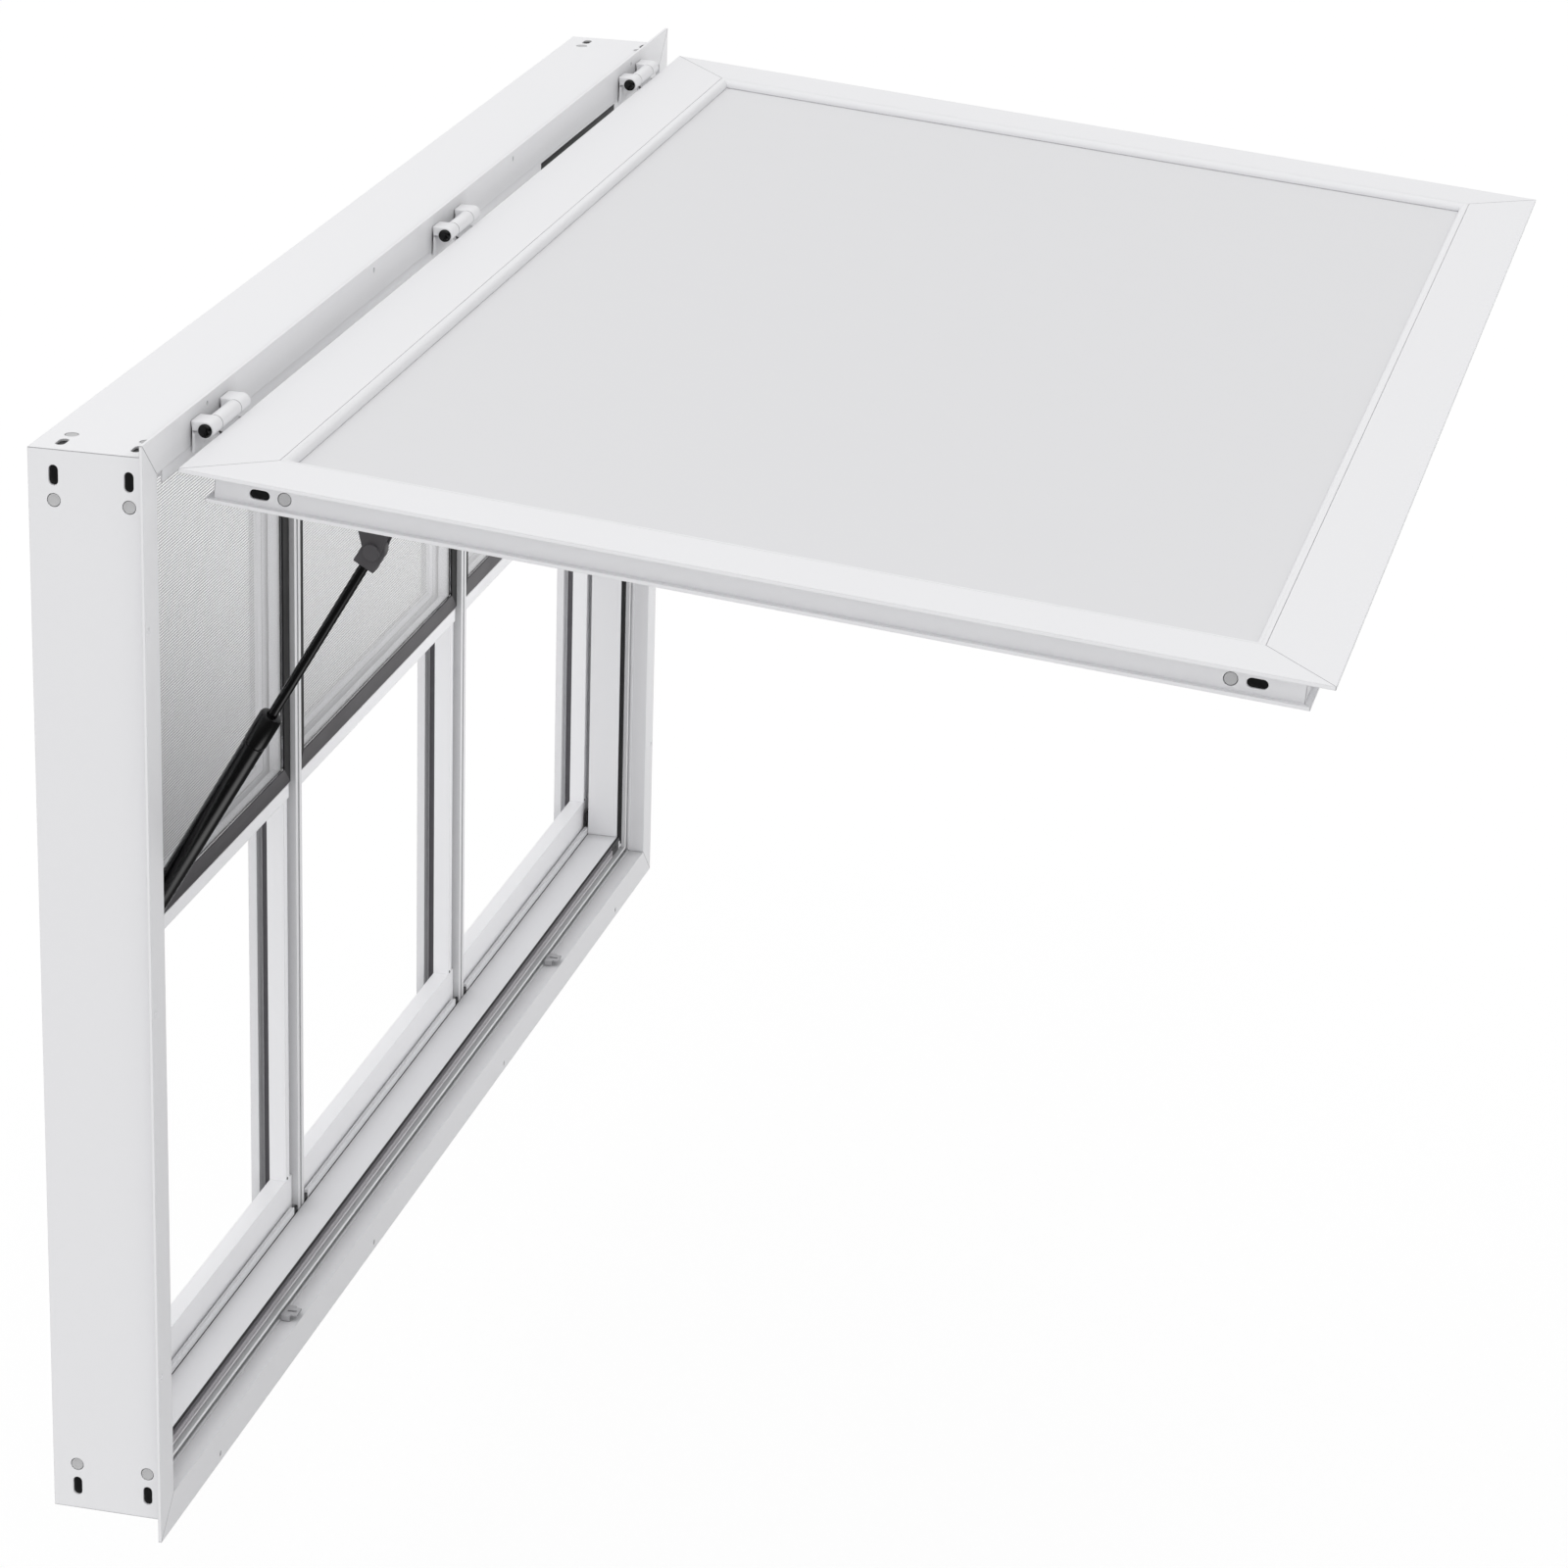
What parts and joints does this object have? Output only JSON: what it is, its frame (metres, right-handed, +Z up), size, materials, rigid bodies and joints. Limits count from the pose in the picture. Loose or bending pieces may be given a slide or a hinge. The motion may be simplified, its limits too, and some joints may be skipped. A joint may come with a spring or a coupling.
{
  "type": "serving window",
  "caption": "Serving window with a top-hinged awning hatch on gas struts, glazed bays, slide bolts and drop-down insect screens",
  "frame": {"origin": "On the back face of the front flange, which seats on the wall, at the middle of the lower screw row", "axes": "+X along the width, +Y into the room, +Z up"},
  "size_m": [1.524, 0.977, 0.914],
  "materials": {
    "white_powder_coat": "white powder coat on extruded aluminium, semi-gloss",
    "white_panel": "white painted sheet, semi-gloss",
    "rubber_black": "black extruded weather seal",
    "clear_glass": "clear float glass",
    "grey_mesh": "woven insect mesh",
    "gloss_black": "black moulded caps on a steel pin",
    "dark_steel": "dark grey passivated steel",
    "satin_black": "satin black lacquer on steel",
    "grey_zinc": "plain grey die-cast zinc"
  },
  "bodies": {
    "frame": {"head": "white_powder_coat", "sill": "white_powder_coat", "left_jamb": "white_powder_coat", "right_jamb": "white_powder_coat", "weather_gasket": "rubber_black", "mullion_left": "white_powder_coat", "mullion_right": "white_powder_coat", "sash_stop_left": "white_powder_coat", "bay_frame_left": "white_powder_coat", "mid_rail_left": "white_powder_coat", "glazing_gasket_left": "rubber_black", "glass_left": "clear_glass", "sash_stop_centre": "white_powder_coat", "bay_frame_centre": "white_powder_coat", "mid_rail_centre": "white_powder_coat", "glazing_gasket_centre": "rubber_black", "glass_centre": "clear_glass", "sash_stop_right": "white_powder_coat", "bay_frame_right": "white_powder_coat", "mid_rail_right": "white_powder_coat", "glazing_gasket_right": "rubber_black", "glass_right": "clear_glass", "hinge_left_frame_leaf": "white_powder_coat", "hinge_left_pin": "gloss_black", "hinge_centre_frame_leaf": "white_powder_coat", "hinge_centre_pin": "gloss_black", "hinge_right_frame_leaf": "white_powder_coat", "hinge_right_pin": "gloss_black", "strut_left_jamb_bracket": "dark_steel", "latch_left_keeper": "grey_zinc", "sill_block_left": "rubber_black", "strut_right_jamb_bracket": "dark_steel", "latch_right_keeper": "grey_zinc", "sill_block_right": "rubber_black"},
    "hatch": {"hatch_hinge_rail": "white_powder_coat", "hatch_outer_rail": "white_powder_coat", "hatch_left_rail": "white_powder_coat", "hatch_right_rail": "white_powder_coat", "hatch_panel": "white_panel", "hatch_bead": "white_powder_coat", "hinge_left_hatch_leaf": "white_powder_coat", "hinge_centre_hatch_leaf": "white_powder_coat", "hinge_right_hatch_leaf": "white_powder_coat", "strut_left_hatch_bracket": "dark_steel", "latch_left_housing": "grey_zinc", "strut_right_hatch_bracket": "dark_steel", "latch_right_housing": "grey_zinc"},
    "strut_left_rod": {"strut_left_rod": "satin_black"},
    "strut_left_cylinder": {"strut_left_cylinder": "satin_black"},
    "strut_right_rod": {"strut_right_rod": "satin_black"},
    "strut_right_cylinder": {"strut_right_cylinder": "satin_black"},
    "screen_left": {"screen_frame_left": "white_powder_coat", "screen_mesh_left": "grey_mesh"},
    "screen_centre": {"screen_frame_centre": "white_powder_coat", "screen_mesh_centre": "grey_mesh"},
    "screen_right": {"screen_frame_right": "white_powder_coat", "screen_mesh_right": "grey_mesh"},
    "latch_left_bolt": {"latch_left_bolt": "grey_zinc"},
    "latch_right_bolt": {"latch_right_bolt": "grey_zinc"}
  },
  "joints": [
    {"name": "hatch_hinge", "type": "hinge", "parent": "frame", "child": "hatch", "pos_m": [0, -0.0144, 0.8906], "axis": [1, 0, 0], "range_deg": [0, 85]},
    {"name": "strut_left_pivot", "type": "hinge", "parent": "hatch", "child": "strut_left_rod", "pos_m": [-0.696, -0.16059, 0.82441], "axis": [-1, 0, 0], "range_deg": [0, 116]},
    {"name": "strut_left_slide", "type": "slide", "parent": "strut_left_rod", "child": "strut_left_cylinder", "axis": [0, -0.5022, 0.8648], "range_m": [0, 0.1387]},
    {"name": "strut_right_pivot", "type": "hinge", "parent": "hatch", "child": "strut_right_rod", "pos_m": [0.696, -0.16059, 0.82441], "axis": [-1, 0, 0], "range_deg": [0, 116]},
    {"name": "strut_right_slide", "type": "slide", "parent": "strut_right_rod", "child": "strut_right_cylinder", "axis": [0, -0.5022, 0.8648], "range_m": [0, 0.1387]},
    {"name": "screen_left_slide", "type": "slide", "parent": "frame", "child": "screen_left", "axis": [0, 0, -1], "range_m": [0, 0.418]},
    {"name": "screen_centre_slide", "type": "slide", "parent": "frame", "child": "screen_centre", "axis": [0, 0, -1], "range_m": [0, 0.418]},
    {"name": "screen_right_slide", "type": "slide", "parent": "frame", "child": "screen_right", "axis": [0, 0, -1], "range_m": [0, 0.418]},
    {"name": "latch_left_slide", "type": "slide", "parent": "hatch", "child": "latch_left_bolt", "axis": [0, -0.9962, -0.0872], "range_m": [0, 0.007]},
    {"name": "latch_right_slide", "type": "slide", "parent": "hatch", "child": "latch_right_bolt", "axis": [0, -0.9962, -0.0872], "range_m": [0, 0.007]}
  ],
  "couplings": [
    {"joint": "strut_left_pivot", "follows": "hatch_hinge", "ratio": 1.3607},
    {"joint": "strut_left_slide", "follows": "hatch_hinge", "m_per_rad": 0.093203},
    {"joint": "strut_right_pivot", "follows": "hatch_hinge", "ratio": 1.3607},
    {"joint": "strut_right_slide", "follows": "hatch_hinge", "m_per_rad": 0.093203}
  ]
}
